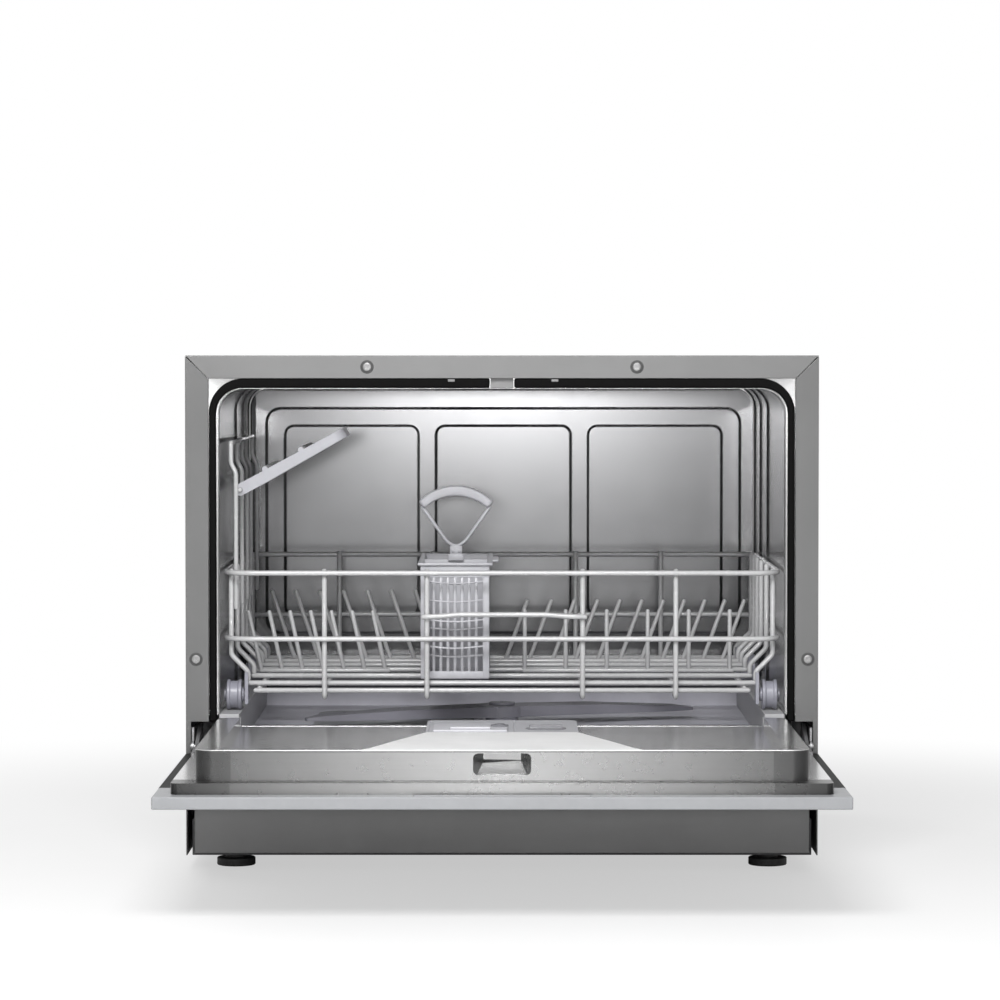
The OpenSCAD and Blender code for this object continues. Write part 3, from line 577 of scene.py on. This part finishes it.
# sets of softened CAD nodes: the node, the piece's name, its finish, the edge's width and its segments
cabinetPieces = [
    ("top_panel", "topPanel", "cabinet_steel", 0.7, 3),
    ("left_side_panel", "leftSidePanel", "shadedSideSteel", 0.45, 3),
    ("right_side_panel", "rightSidePanel", "shadedSideSteel", 0.45, 3),
    ("back_panel", "backPanel", "cabinet_steel", 0.3, 2),
    ("plinth_panel", "plinthPanel", "cabinet_steel", 0.3, 2),
    ("base_tray", "baseTray", "base_plastic", 0.8, 2),
    ("adjustable_feet", "levellingFeet", "foot_rubber", 1.2, 3),
    ("tub_sill", "tubSill", "tub_steel", 0.5, 3),
    ("roller_rails", "rollerRails", "rail_plastic", 0.8, 3),
    ("hinge_brackets", "hingeBrackets", "hinge_steel", 0.3, 2),
    ("hinge_arms", "hingeArms", "hinge_steel", 0.5, 3),
    ("hinge_pins", "hingePins", "screw_steel", 0.4, 3),
    ("door_springs", "doorSprings", "hinge_steel", 0.6, 3),
    ("latch_bolt", "latchBolt", "latch_plastic", 0.5, 3),
    ("lower_door_seal", "lowerDoorSeal", "seal_rubber", 0.4, 3),
]
# two dark plates beside the hinges: painted shade in the hinge recess
hingeShadePlate = dict(x=265, half=9, y=(40, 41), z=(104, 131))


def soften(pieces, finish):
    for node, name, look, width, segments in pieces:
        softEdges(node, name, finish[look], width, segments)


def buildCabinet(finish):
    soften(cabinetPieces, finish)
    h = hingeShadePlate
    # dark plates of painted shade, one by each hinge
    shadePlates = [box((x - h["half"], x + h["half"]), h["y"], h["z"], 0.2, 1) for x in (-h["x"], h["x"])]
    dress(join(shadePlates), "hingeShadePlates", "hinge_brackets", finish["base_plastic"], False)
    print("stage: cabinet")


screw = dict(spots=[(-117.3, 440), (117.3, 440), (-266.5, 185.5), (266.5, 185.5)], seat=5.8, seatY=(-0.6, 0.2),
             head=3.65, headY=(-1.0, -0.2), slotHalf=(2.2, 0.45), slotY=(-1.3, -0.7), slotTurns=(45, 135))


def buildScrews(finish):
    heads, seats = [], []
    slotLong, slotHigh = screw["slotHalf"]
    for x, z in screw["spots"]:
        (y0, y1), (y2, y3) = screw["seatY"], screw["headY"]
        seats.append(rod((x, y0, z), (x, y1, z), screw["seat"], 40, 0.3))
        head = rod((x, y2, z), (x, y3, z), screw["head"], 40, 0.35)
        for turn in screw["slotTurns"]:
            slotCut = box((x - slotLong, x + slotLong), screw["slotY"], (z - slotHigh, z + slotHigh), 0.05)
            pick(slotCut)
            bpy.ops.transform.rotate(value=math.radians(turn), orient_axis="Y", center_override=at(x, 0, z))
            cut = head.modifiers.new("BOOLEAN", "BOOLEAN")
            cut.object = slotCut
            cut.operation = "DIFFERENCE"
            pick(head)
            bpy.ops.object.modifier_apply(modifier="BOOLEAN")
            bpy.data.objects.remove(slotCut)
        heads.append(smooth(head, 30))
    dress(join(seats), "screwSeats", "front_screws", finish["screwSeat"])
    dress(join(heads), "frontScrews", "front_screws", finish["screw_steel"])
    print("stage: screws")


gasketClips = dict(x=(-44, 46), z=428.2, half=3, tall=2.2)


def buildGasket(finish):
    softEdges("door_gasket", "doorGasket", finish["seal_rubber"], 1.6, 4)
    c = gasketClips
    clips = [box((x - c["half"], x + c["half"]), (0.4, 2.4), (c["z"] - c["tall"] / 2, c["z"] + c["tall"] / 2), 0.5, 3)
             for x in c["x"]]
    dress(join(clips), "gasketClips", "door_gasket", finish["latch_plastic"], False)
    print("stage: gasket")


tub = dict(half=247.7, low=125, top=421.8, corner=22, front=9, back=411, backRadius=3,
           fields=[(26, 243), (261, 343)], fieldZ=(140, 431), press=1.6,
           frame=((-229, 232), (180, 399)), panels=[(-211, -81), (-64, 67), (84, 214)], panelZ=(197, 382),
           lift=1.1, edge=2.4, fieldCorner=12, fieldEdge=5, frameCorner=14, panelCorner=9, sheetWall=0.9,
           flangeOut=24.8, flangeTop=445, flangeLow=136, flangeY=9.6, flangeReach=8,
           flangeStretch=1.2, flangeLean=0.5)


def tubOutline():
    # the points of the tub's upright outline, as a side, a quarter turn and half the ceiling, then mirrored
    half, top, corner = tub["half"], tub["top"], tub["corner"]
    side = [(-half, z) for z in fineNear(tub["low"], top - corner, tub["fieldZ"], 0.9, 5)]
    turn = [(-half + corner * (1 - math.cos(math.pi / 24 * i)), top - corner + corner * math.sin(math.pi / 24 * i))
            for i in range(1, 13)]
    ceiling = [((-half + corner) * (1 - i / 8), top) for i in range(1, 9)]
    left = side + turn + ceiling
    return left + [(-x, z) for x, z in reversed(left[:-1])]


def drawnIn(x, z, inset):
    # the same outline point, moved in from the wall by inset
    half, top, corner = tub["half"], tub["top"], tub["corner"]
    cx, cz = math.copysign(half - corner, x), top - corner
    if abs(x) > half - 0.01:
        return math.copysign(half - inset, x), min(z, top - corner)
    if z > top - 0.01:
        return x, top - inset
    return cx + (x - cx) * (corner - inset) / corner, cz + (z - cz) * (corner - inset) / corner


def buildTub(finish):
    t = tub
    outline = tubOutline()
    radius = t["backRadius"]
    edges = [edge for field in t["fields"] for edge in field]
    bend = [t["back"] - radius * (1 - i / 8) for i in range(1, 9)]
    depths = fineNear(t["front"], t["back"] - radius, edges, 0.9, 5) + bend

    def wall(index, y):
        x, z = outline[index]
        turned = y - (t["back"] - radius)
        if turned > 0:
            angle = math.pi / 2 * turned / radius
            x, z = drawnIn(x, z, radius * (1 - math.cos(angle)))
            return x, t["back"] - radius + radius * math.sin(angle), z
        # the pressed fields run on round the upper corners, so they are measured along the outline
        lean = min(max(math.asin(min(max((z - t["top"] + t["corner"]) / t["corner"], 0), 1)), 0), math.pi / 2)
        along = min(z, t["top"] - t["corner"]) + t["corner"] * lean
        if abs(x) > t["half"] - t["corner"]:
            inside = (gap(y, along, field, t["fieldZ"], t["fieldCorner"]) / t["fieldEdge"] for field in t["fields"])
            deep = t["press"] * sum(eased(0.5 - past) for past in inside)
            x += math.copysign(deep * math.cos(lean), x)
            z += deep * math.sin(lean)
        return x, y, z

    across = [edge for panel in t["panels"] for edge in panel] + list(t["frame"][0])
    upright = list(t["panelZ"]) + list(t["frame"][1])

    def backWall(x, z):
        fields = [(t["frame"], t["frameCorner"])]
        fields += [((panel, t["panelZ"]), t["panelCorner"]) for panel in t["panels"]]
        return x, t["back"] - sum(t["lift"] * eased(0.5 - gap(x, z, *spans, corner) / t["edge"])
                                  for spans, corner in fields), z

    walls = sheet(list(range(len(outline))), depths, wall, t["sheetWall"], -1)
    reach = t["half"] - radius + 1
    columns = fineNear(-reach, reach, across, 0.6, 7)
    rows = fineNear(t["low"], t["top"] - radius + 1, upright, 0.6, 7)
    backSheet = sheet(columns, rows, backWall, t["sheetWall"], -1)

    def flange(index, out):
        x, z = outline[index]
        outer = math.copysign(t["half"] + t["flangeOut"], x)
        if out and z > t["top"] - t["flangeReach"]:
            straight = t["half"] - t["corner"]
            x, z = (outer if abs(x) > straight - 0.1 else x * t["flangeStretch"]), t["flangeTop"]
        elif out:
            x = outer
        return x, t["flangeY"] - t["flangeLean"] * out, max(z, t["flangeLow"])

    rim = smooth(sheet(list(range(len(outline))), [0, 1], flange, 0.6, 1), 30)
    dress(join([walls, rim]), "tubWalls", "tub", finish["tub_steel"])
    dress(backSheet, "tubBackWall", "tub", finish["shadedBackWallSteel"])
    softEdges("tub_floor", "tubFloor", finish["floor_plastic"], 1.6, 3)
    print("stage: tub")


basket = dict(half=243.5, front=30, back=365, rail=259, middle=201, floor=161, wire=2.3, thin=2.0, cornerRadius=24,
              side=238.85, knee=((238.85, 186), (224, 171)), foot=224, hoops=[46, 127, 197, 252, 300, 342],
              runners=[-156.2, -66, 71, 153], upright=(34.65, 360.35), runner=156.35, footZ=149.3, footY=(50, 53),
              skirtX=219, skirt=(39.3, 155), skidX=214, skidStart=42)
# each row of tines: where they stand on X, its place on Y, how far the tips lean on X, and their height
tineRows = {
    "left_tine_rows": [([-221 + i * 19 for i in range(7)], 190, -12, 216),
                       ([-195.7 + i * 22.7 for i in range(7)], 306, -23, 228)],
    "right_tine_rows": [([21 + i * 37.7 for i in range(6)], 190, 0, 217),
                        ([3 + i * 22.9 - i * i * 0.23 for i in range(11)], 306, 21.5, 219)],
}
shortRail = [(-71, 30, 220.4), (-52, 30, 221.0), (-40, 30, 222.4), (40, 30, 222.4), (56, 30, 220.8), (75, 30, 220.4)]


def buildBasket(finish):
    b = basket
    coat = finish["wire_coating"]
    half, near, far, wire = b["half"], b["front"], b["back"], b["wire"]
    rails = [wires([shortRail], wire, 8)]
    for level in (b["rail"], b["middle"]):
        loop = [(-half, near, level), (half, near, level), (half, far, level), (-half, far, level)]
        rails.append(wires([loop], wire, b["cornerRadius"], closed=True))
    dress(join(rails), "basketRails", "basket_rails", coat)
    across = b["foot"] + wire
    floorRuns = [[(-across, y, b["floor"]), (across, y, b["floor"])] for y in b["hoops"]]
    floorRuns.append([(sign * b["skirtX"], *b["skirt"]) for sign in (-1, 1)])
    dress(wires(floorRuns, wire), "floorWires", "floor_wires", coat)
    (kx, kz), (fx, fz) = b["knee"]
    runs = [[(sign * b["side"], y, b["rail"] + 3), (sign * kx, y, kz), (sign * fx, y, fz),
             (sign * b["foot"], y, b["floor"] + 1.5)] for sign in (-1, 1) for y in b["hoops"]]
    dress(wires(runs, wire, 3), "sideWires", "side_wires", coat)
    (up, down), (f0, f1) = b["upright"], b["footY"]
    runs = [[(x, up, b["rail"] + 3.5), (x, up, b["footZ"]), (x, f0, b["footZ"]), (x, f1, b["runner"]),
             (x, down, b["runner"]), (x, down, b["rail"] + 3.5)] for x in b["runners"]]
    runs += [[(x, b["skidStart"], b["runner"]), (x, down, b["runner"])] for x in (-b["skidX"], b["skidX"])]
    dress(wires(runs, wire, 3.5), "lengthWires", "length_wires", coat)
    base = b["runner"] + wire + b["thin"] + 0.05
    for node, rows in tineRows.items():
        runs = []
        for xs, y, lean, top in rows:
            runs += [[(x, y, base), (x + lean, y, top)] for x in xs]
            runs.append([(xs[0] - 2, y, base), (xs[-1] + 4, y, base)])
        dress(wires(runs, b["thin"], 4), node.replace("_tine_rows", "TineRows"), node, coat)
    print("stage: basket")


rack = dict(x=-234.5, step=4.4, ys=[46, 127, 197, 252, 342], low=226, kink=(347, 355), top=373,
            topRail=(44, 350), spindle=(-231, 331.5), spindleY=(44, 254), spindleRadius=2.2)


def buildRackAndShelf(finish):
    r = rack
    out = r["x"] - r["step"]
    (bend, step), top = r["kink"], r["top"]
    runs = [[(r["x"], y, r["low"]), (r["x"], y, bend), (out, y, step), (out, y, top)] for y in r["ys"]]
    runs.append([(out, y, top) for y in r["topRail"]])
    spindle = [[(r["spindle"][0], y, r["spindle"][1]) for y in r["spindleY"]]]
    dress(join([wires(runs, basket["thin"], 3), wires(spindle, r["spindleRadius"], 1)]),
          "shelfRack", "shelf_rack", finish["wire_coating"])
    softEdges("cup_shelf", "cupShelf", finish["shelf_plastic"], 0.9, 3)
    print("stage: rack and shelf")


def buildRollers(finish):
    for side in ("left", "right"):
        for place in ("front", "rear"):
            softEdges(f"{place}_{side}_roller", f"{place}{side.title()}Roller", finish["roller_plastic"], 0.8, 3)
    softEdges("roller_brackets", "rollerBrackets", finish["roller_plastic"], 0.5, 3)
    print("stage: rollers")


cutlery = dict(x=(-72, -11), y=(50, 222), z=(164, 266), rim=2.6, wall=2.2, strip=6, band=12, dip=2.4,
               ribs=[185.5, 193.0, 209.5, 216.5, 234.0, 250.4], barWidth=2.7, barHalf=0.75, postHalf=0.95, middleHalf=4,
               pitch=(6.2, 6.6), ledge=(8, 30), block=(267, 278), blockFoot=(7.2, 4.5), blockBody=(5.6, 3.6),
               pinX=3, pinY=4.9, pinUp=6.5, pinRadius=1.3,
               grip=332.5, outerRadius=46.6, innerRadius=41.3, innerDrop=9.4, reach=34, innerShare=0.83,
               legs=[(-31, 314), (-8, 281.5), (0, 277), (8, 281.5), (31, 314)])


def gripOutline(mid):
    # a crescent: the outer arc one way and the inner arc back
    c = cutlery

    def arc(x, top, radius):
        return mid + x, top - radius + math.sqrt(radius ** 2 - x ** 2)

    steps = [c["reach"] * (i / 12 - 1) for i in range(25)]
    outer = [arc(x, c["grip"], c["outerRadius"]) for x in steps]
    inner = [arc(x * c["innerShare"], c["grip"] - c["innerDrop"], c["innerRadius"]) for x in steps]
    return outer + inner[::-1]


def lattice(along, start, end, face, low, high):
    # the bars and the dipping ribs of one wall; along is 0 for a wall on X and 1 for one on Y
    c = cutlery
    count = max(2, round((end - start) / c["pitch"][along]))
    bars = []
    for k in range(1, count):
        a = start + (end - start) * k / count
        spans = ((a - c["barWidth"] / 2, a + c["barWidth"] / 2), (face - c["barHalf"], face + c["barHalf"]))
        bars.append(box(spans[along], spans[1 - along], (low, high), 0.3, 1))
    runs = []
    for z in c["ribs"]:
        line = [(start, z), ((start + end) / 2, z - c["dip"]), (end, z)]
        runs.append([(a, face, h) if along == 0 else (face, a, h) for a, h in line])
    return bars + [wires(runs, 1.0, 12, rounding=2)]


def buildCutleryBasket(finish):
    c = cutlery
    (x0, x1), (y0, y1), (z0, z1) = c["x"], c["y"], c["z"]
    wall, strip = c["wall"], c["strip"]
    mid, my = (x0 + x1) / 2, (y0 + y1) / 2
    parts = [box((x0 + 0.3, x1 - 0.3), (y0 + 0.3, y1 - 0.3), (z0, z0 + 3), 1.2, 3),
             ring((x0, x1), (y0, y1), (z1 - c["band"], z1 - 0.6), wall, 0.5),
             ring((x0 + 0.2, x1 - 0.2), (y0 + 0.2, y1 - 0.2), (z0 + 0.4, z0 + 7), wall - 0.4, 0.5),
             ring((x0 - 2.5, x1 + 3), (y0 - 2.5, y1 + 2.5), (z1 - 1.6, z1 + c["rim"] - 1.6), 4.2, 1.1, 4)]
    # the ledge on its right side
    out, half = c["ledge"]
    parts.append(box((x1 + 1, x1 + out), (my - half, my + half), (z1 - 1.2, z1 + 0.8), 0.9, 3))
    # the corner and middle posts, then the bars and ribs between them
    ends, sides, upright = (y0 + 1.1, y1 - 1.1), (x0 + 1.1, x1 - 1.1), (z0 + 1, z1 - 1)
    post, middle = c["postHalf"], c["middleHalf"]
    for px in ((x0 + 0.1, x0 + strip), (x1 - strip, x1 - 0.1)):
        for face in ends:
            parts.append(box(px, (face - post, face + post), upright, 0.5, 3))
    for face in sides:
        for py in ((y0 + 0.1, y0 + strip), (my - middle, my + middle), (y1 - strip, y1 - 0.1)):
            parts.append(box((face - post, face + post), py, upright, 0.5, 3))
    low, high = z0 + 5, z1 - c["band"] + 1
    for face in ends:
        parts += lattice(0, x0 + strip - 0.5, x1 - strip + 0.5, face, low, high)
    for face in sides:
        parts += lattice(1, y0 + strip - 0.5, my - middle + 0.5, face, low, high)
        parts += lattice(1, my + middle - 0.5, y1 - strip + 0.5, face, low, high)
    parts.append(box((x0 + 1.5, x1 - 1.5), (my - 1.3, my + 1.3), (z0 + 2, z1 - 0.3), 0.5, 2))
    # the block that holds the handle, with its two pins
    b0, b1 = c["block"]
    for (wide, deep), span, bevel in ((c["blockFoot"], (b0 - 2.5, b0 + 3.5), 0.8), (c["blockBody"], (b0 + 2, b1), 0.9)):
        parts.append(box((mid - wide, mid + wide), (my - deep, my + deep), span, bevel, 3))
    pinZ = b0 + c["pinUp"]
    for x in (mid - c["pinX"], mid + c["pinX"]):
        parts.append(rod((x, my - c["pinY"], pinZ), (x, my + c["pinY"], pinZ), c["pinRadius"], 20, 0.3))
    parts.append(wires([[(mid + x, my, z) for x, z in c["legs"]]], 1.5, 9))
    parts.append(plate(gripOutline(mid), (my - 5, my + 5), 2.2, 4))
    dress(join(parts), "cutleryBasket", "cutlery_basket", finish["basket_plastic"])
    print("stage: cutlery basket")


# the fold at the top of the liner's end, and the joint under it, as height and half thickness
seam = dict(half=230, y=(-313.6, -313), lines=((136.0, 0.3), (112.9, 0.35)))
# the dispenser's lid: its plate, the bar that it is pushed by, and the two discs of its catch
lid = dict(plate=((-57.5, 4.5), (-152, -92), (135.8, 138.2)), bar=((-43.5, -9.5), (-151, -146), (138, 140.6)),
           catch=(-2, -118), discs=[(138.1, 139.4, 7.5), (139.3, 140.2, 4.5)])
doorPieces = [
    ("door_liner", "doorLiner", "linerSteel", 0.9, 3),
    ("outer_door_panel", "outerDoorPanel", "door_steel", 0.6, 3),
    ("control_panel", "controlPanel", "panel_plastic", 1.0, 3),
    ("control_board", "controlBoard", "board_green", 0.1, 2),
    ("display_window", "displayWindow", "display_black", 0.3, 2),
    ("power_button", "powerButton", "button_plastic", 0.5, 3),
    ("program_button", "programButton", "button_plastic", 0.5, 3),
    ("half_load_button", "halfLoadButton", "button_plastic", 0.5, 3),
    ("delay_button", "delayButton", "button_plastic", 0.5, 3),
    ("start_button", "startButton", "button_plastic", 0.5, 3),
    ("dispenser_body", "dispenserBody", "dispenser_plastic", 0.35, 2),
    ("rinse_aid_cap", "rinseAidCap", "cap_plastic", 0.8, 3),
]


def buildDoor(finish):
    soften(doorPieces, finish)
    span = (-seam["half"], seam["half"])
    seams = [box(span, seam["y"], (z - high, z + high), 0.05, 1) for z, high in seam["lines"]]
    dress(join(seams), "linerSeams", "door_liner", finish["seamShadow"], False)
    plates = [box(*lid["plate"], 0.9, 3), box(*lid["bar"], 0.8, 3)]
    dress(join(plates), "dispenserLid", "dispenser_lid", finish["lidPlastic"])
    x, y = lid["catch"]
    discs = [rod((x, y, low), (x, y, high), radius, 40) for low, high, radius in lid["discs"]]
    dress(join(discs), "lidCatch", "dispenser_lid", finish["cap_plastic"], False)
    print("stage: door")


waterPieces = [
    ("spray_arm", "sprayArm", "arm_plastic", 1.6, 4),
    ("spray_arm_nut", "sprayArmNut", "arm_plastic", 0.8, 3),
    *[(node, name, slotOf[node], 0.5, 2) for node, name in (
        ("sump", "sump"), ("flat_filter", "flatFilter"), ("filter_cylinder", "filterCylinder"),
        ("wash_pump", "washPump"), ("drain_pump", "drainPump"), ("flow_heater", "flowHeater"),
        ("softener_tank", "softenerTank"), ("salt_cap", "saltCap"), ("float_bell", "floatBell"),
        ("inlet_valve", "inletValve"), ("drain_spigot", "drainSpigot"), ("cable_gland", "cableGland"))],
]


def buildWaterParts(finish):
    soften(waterPieces, finish)
    print("stage: water parts")


studio = dict(light=0.31, floorSize=24, whiteFrom=0.2, whiteTo=1.6, whiteLow=0.55, whiteHigh=1.0)


def makeFloor():
    # a pale floor that the camera sees as white, apart from the object's shadow; whiter further out
    finish = Finish("studioFloor")
    speck = finish.noise(400)
    finish.set(Base_Color=finish.ramp(speck, (0.84, 0.84, 0.84, 1), (0.88, 0.88, 0.88, 1)), Roughness=0.6)
    white = finish.tree.nodes.new("ShaderNodeEmission")
    mix = finish.tree.nodes.new("ShaderNodeMixShader")
    seen = finish.node("ShaderNodeLightPath", out="Is Camera Ray")
    x, y, z = finish.place()
    far = finish.node("ShaderNodeMapRange", {"interpolation_type": "SMOOTHSTEP"}, Value=x * x + y * y)
    inputs = far.socket.node.inputs
    for name, key in (("From Min", "whiteFrom"), ("From Max", "whiteTo"),
                      ("To Min", "whiteLow"), ("To Max", "whiteHigh")):
        inputs[name].default_value = studio[key]
    finish.feed(mix.inputs[0], seen * far)
    finish.tree.links.new(finish.shader.outputs[0], mix.inputs[1])
    finish.tree.links.new(white.outputs[0], mix.inputs[2])
    output = next(node for node in finish.tree.nodes if node.type == "OUTPUT_MATERIAL")
    finish.tree.links.new(mix.outputs[0], output.inputs[0])
    bpy.ops.mesh.primitive_plane_add(size=studio["floorSize"], location=(0, 0, -0.5 * mm))
    floor = bpy.context.object
    floor.name = "studioFloor"
    floor.data.materials.append(finish.material)


def makeWorld():
    # even light from all round; the camera, mirrors and glass see it as white
    world = bpy.data.worlds.new("studio")
    bpy.context.scene.world = world
    world.use_nodes = True
    nodes, links = world.node_tree.nodes, world.node_tree.links
    nodes.clear()
    rays = nodes.new("ShaderNodeLightPath")
    white = nodes.new("ShaderNodeBackground")
    white.inputs["Color"].default_value = (1, 1, 1, 1)
    lit = nodes.new("ShaderNodeBackground")
    lit.inputs["Color"].default_value = (studio["light"],) * 3 + (1,)
    anyRay = rays.outputs["Is Camera Ray"]
    for ray in ("Is Glossy Ray", "Is Transmission Ray"):
        more = nodes.new("ShaderNodeMath")
        more.operation = "MAXIMUM"
        links.new(anyRay, more.inputs[0])
        links.new(rays.outputs[ray], more.inputs[1])
        anyRay = more.outputs[0]
    mix = nodes.new("ShaderNodeMixShader")
    output = nodes.new("ShaderNodeOutputWorld")
    links.new(anyRay, mix.inputs[0])
    links.new(lit.outputs[0], mix.inputs[1])
    links.new(white.outputs[0], mix.inputs[2])
    links.new(mix.outputs[0], output.inputs[0])
    print("stage: floor and world")


makeCamera()
makeLamps()
finishes = makeFinishes()
buildCabinet(finishes)
buildScrews(finishes)
buildGasket(finishes)
buildTub(finishes)
buildBasket(finishes)
buildRackAndShelf(finishes)
buildRollers(finishes)
buildCutleryBasket(finishes)
buildDoor(finishes)
buildWaterParts(finishes)
makeFloor()
makeWorld()
bpy.context.scene.view_settings.view_transform = "Standard"
